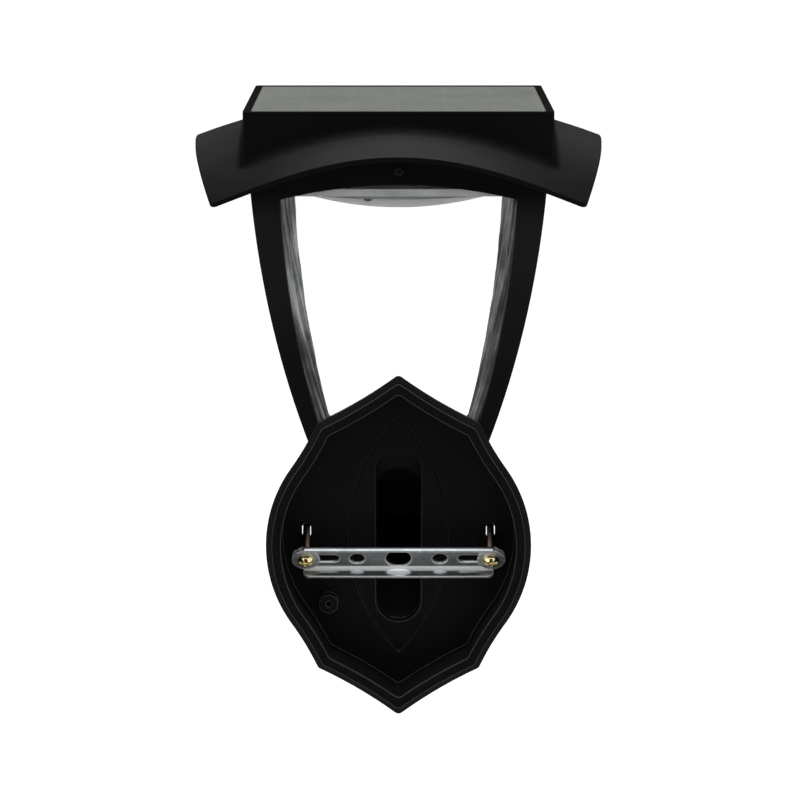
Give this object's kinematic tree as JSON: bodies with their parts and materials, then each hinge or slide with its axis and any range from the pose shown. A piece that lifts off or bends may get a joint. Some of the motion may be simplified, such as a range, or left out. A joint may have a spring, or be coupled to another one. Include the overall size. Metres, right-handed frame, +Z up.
{
  "type": "solar wall light",
  "caption": "Black solar wall lantern with a square panel box on a drooping roof, tapering glazed frame, curved bracket arm and hollow shield canopy with a zinc crossbar.",
  "frame": {"origin": "centre of the canopy's rear rim, on the wall plane", "axes": "+Z up, +Y into the wall, so the light stands out towards -Y; +X to the right seen from the front"},
  "size_m": [0.228, 0.264, 0.3169],
  "materials": {
    "black_casting": "satin black powder coat on die-cast aluminium",
    "black_screw": "black oxide steel",
    "gasket_rubber": "matt black foam rubber",
    "pane_glass": "clear rippled glass",
    "solar_cell": "dark cells under clear laminate",
    "zinc_steel": "bright zinc plate",
    "yellow_zinc": "yellow chromate zinc plate",
    "diffuser_plastic": "translucent white",
    "white_plastic": "moulded white",
    "black_plastic": "moulded black",
    "circuit_board": "green solder mask",
    "led_emitter": "yellow phosphor",
    "cell_sleeve": "blue shrink sleeve",
    "wire_sleeve": "red insulation"
  },
  "bodies": {
    "mount": {"wall_canopy": "black_casting", "canopy_gasket": "gasket_rubber", "bracket_arm": "black_casting", "lantern_base": "black_casting", "foot_screws": "black_screw", "base_washer": "zinc_steel", "base_bolt": "zinc_steel", "finial": "black_casting", "lantern_frame": "black_casting", "glass_back": "pane_glass", "glass_front": "pane_glass", "glass_left": "pane_glass", "glass_right": "pane_glass", "glass_clips": "zinc_steel", "rail_screws": "black_screw"},
    "solar_head": {"roof_shell": "black_casting", "panel_seal": "gasket_rubber", "solar_panel": "solar_cell", "ceiling_plate": "white_plastic", "plate_screws": "zinc_steel", "diffuser_dome": "diffuser_plastic", "diffuser_screws": "black_screw", "led_board": "circuit_board", "leds": "led_emitter", "battery_holder": "black_plastic", "battery_cells": "cell_sleeve", "board_spacers": "white_plastic", "control_board": "circuit_board", "panel_lead": "wire_sleeve", "switch_housing": "black_plastic"},
    "mode_switch": {"switch_knob": "black_plastic"},
    "crossbar": {"crossbar": "zinc_steel", "bar_washers": "zinc_steel", "bar_screws": "yellow_zinc", "bar_nuts": "zinc_steel", "cap_nuts": "black_screw"}
  },
  "joints": [
    {"name": "bar_swing", "type": "hinge", "parent": "mount", "child": "crossbar", "pos_m": [0, -0.03175, 0.0025], "axis": [1, 0, 0], "range_deg": [0, 37]},
    {"name": "head_lift", "type": "slide", "parent": "mount", "child": "solar_head", "axis": [0, 0, 1], "range_m": [0, 0.08]},
    {"name": "switch_slide", "type": "slide", "parent": "solar_head", "child": "mode_switch", "axis": [1, 0, 0], "range_m": [0, 0.004]}
  ]
}
